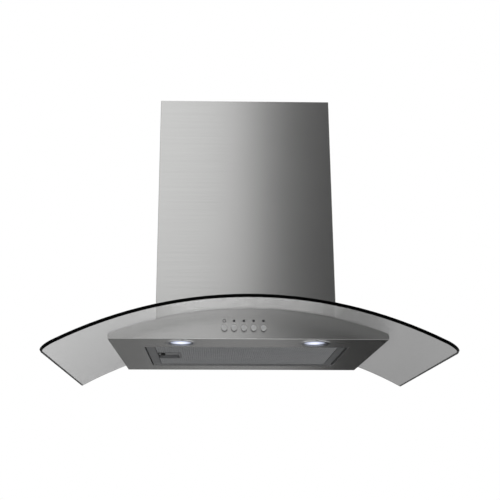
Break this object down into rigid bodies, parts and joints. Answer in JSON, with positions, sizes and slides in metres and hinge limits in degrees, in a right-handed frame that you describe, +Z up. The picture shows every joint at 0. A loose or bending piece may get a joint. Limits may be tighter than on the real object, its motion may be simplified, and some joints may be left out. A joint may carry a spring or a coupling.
{
  "type": "curved range hood",
  "caption": "Wall-hung kitchen hood: brushed steel chimney over an arched tinted glass canopy, with push buttons, lamps, a hinged grease filter and a blower inside",
  "frame": {"origin": "midway between the two hanging holes, on the wall face of the back plate", "axes": "+X to the right as seen from the room, +Y into the wall, +Z up"},
  "size_m": [0.75, 0.48, 0.5922],
  "materials": {
    "stainless": "fine brushed stainless sheet",
    "tinted_glass": "grey-tinted toughened glass with polished edges",
    "galvanised": "dull galvanised sheet",
    "seal_rubber": "black sealing rubber",
    "zinc_fasteners": "zinc-plated steel",
    "chrome_trim": "polished chrome plate",
    "silver_button": "satin chrome plate",
    "lamp_lens": "frosted glass, lit cold white",
    "lamp_cup": "spun aluminium",
    "light_board": "white-coated aluminium board",
    "filter_aluminium": "plain aluminium frame and mesh",
    "latch_plastic": "black moulded plastic",
    "black_plastic": "black moulded plastic",
    "wheel_plastic": "dark grey moulded plastic",
    "motor_paint": "black enamelled casing",
    "box_plastic": "light grey moulded plastic",
    "capacitor_plastic": "white moulded plastic"
  },
  "bodies": {
    "hood": {"back_plate": "galvanised", "bottom_plate": "stainless", "cable_gland": "black_plastic", "canopy_back": "stainless", "canopy_end_left": "stainless", "canopy_end_right": "stainless", "canopy_front": "stainless", "capacitor": "capacitor_plastic", "capacitor_clip": "galvanised", "chimney_cover": "stainless", "cover_brackets": "galvanised", "cover_screws": "zinc_fasteners", "duct_collar": "black_plastic", "fan_box_top": "galvanised", "fan_box_wrap": "galvanised", "fan_saddle": "galvanised", "glass_bolts": "zinc_fasteners", "glass_bushes": "seal_rubber", "glass_canopy": "tinted_glass", "glass_carrier": "galvanised", "glass_nuts": "zinc_fasteners", "glass_seal": "seal_rubber", "junction_box": "box_plastic", "junction_lid": "box_plastic", "lamp_bezel_left": "chrome_trim", "lamp_bezel_right": "chrome_trim", "lamp_board_left": "light_board", "lamp_board_right": "light_board", "lamp_cup_left": "lamp_cup", "lamp_cup_right": "lamp_cup", "lamp_lens_left": "lamp_lens", "lamp_lens_right": "lamp_lens", "motor": "motor_paint", "motor_bracket": "galvanised", "motor_screws": "zinc_fasteners", "outlet_adapter": "black_plastic", "saddle_seal": "seal_rubber", "scroll_side_left": "galvanised", "scroll_side_right": "galvanised", "scroll_wrapper": "galvanised", "switch_block": "black_plastic"},
    "filter": {"filter_frame": "filter_aluminium", "filter_mesh": "filter_aluminium", "filter_core": "filter_aluminium", "latch_pocket": "latch_plastic"},
    "latch": {"filter_latch": "latch_plastic"},
    "wheel": {"impeller": "wheel_plastic", "motor_shaft": "zinc_fasteners"},
    "damper_front": {"damper_flap_front": "black_plastic"},
    "damper_rear": {"damper_flap_rear": "black_plastic"},
    "upper_cover": {"upper_chimney": "stainless"},
    "push_button_1": {"button_1": "silver_button"},
    "push_button_2": {"button_2": "silver_button"},
    "push_button_3": {"button_3": "silver_button"},
    "push_button_4": {"button_4": "silver_button"},
    "push_button_5": {"button_5": "silver_button"}
  },
  "joints": [
    {"name": "filter_swing", "type": "hinge", "parent": "hood", "child": "filter", "pos_m": [0.1978, -0.178, -0.35326], "axis": [0, -1, 0], "range_deg": [0, 80]},
    {"name": "latch_slide", "type": "slide", "parent": "filter", "child": "latch", "axis": [-1, 0, 0], "range_m": [0, 0.006]},
    {"name": "wheel_spin", "type": "hinge", "parent": "hood", "child": "wheel", "pos_m": [0, -0.1075, -0.1802], "axis": [1, 0, 0], "continuous": true},
    {"name": "damper_front_swing", "type": "hinge", "parent": "hood", "child": "damper_front", "pos_m": [0, -0.1552, 0.001], "axis": [-1, 0, 0], "range_deg": [0, 80]},
    {"name": "damper_rear_swing", "type": "hinge", "parent": "hood", "child": "damper_rear", "pos_m": [0, -0.1498, 0.001], "axis": [1, 0, 0], "range_deg": [0, 80]},
    {"name": "chimney_extend", "type": "slide", "parent": "hood", "child": "upper_cover", "axis": [0, 0, 1], "range_m": [0, 0.33]},
    {"name": "button_1_press", "type": "slide", "parent": "hood", "child": "push_button_1", "axis": [0, 1, 0], "range_m": [0, 0.003], "stiffness_N_per_m": 500},
    {"name": "button_2_press", "type": "slide", "parent": "hood", "child": "push_button_2", "axis": [0, 1, 0], "range_m": [0, 0.003], "stiffness_N_per_m": 500},
    {"name": "button_3_press", "type": "slide", "parent": "hood", "child": "push_button_3", "axis": [0, 1, 0], "range_m": [0, 0.003], "stiffness_N_per_m": 500},
    {"name": "button_4_press", "type": "slide", "parent": "hood", "child": "push_button_4", "axis": [0, 1, 0], "range_m": [0, 0.003], "stiffness_N_per_m": 500},
    {"name": "button_5_press", "type": "slide", "parent": "hood", "child": "push_button_5", "axis": [0, 1, 0], "range_m": [0, 0.003], "stiffness_N_per_m": 500}
  ]
}
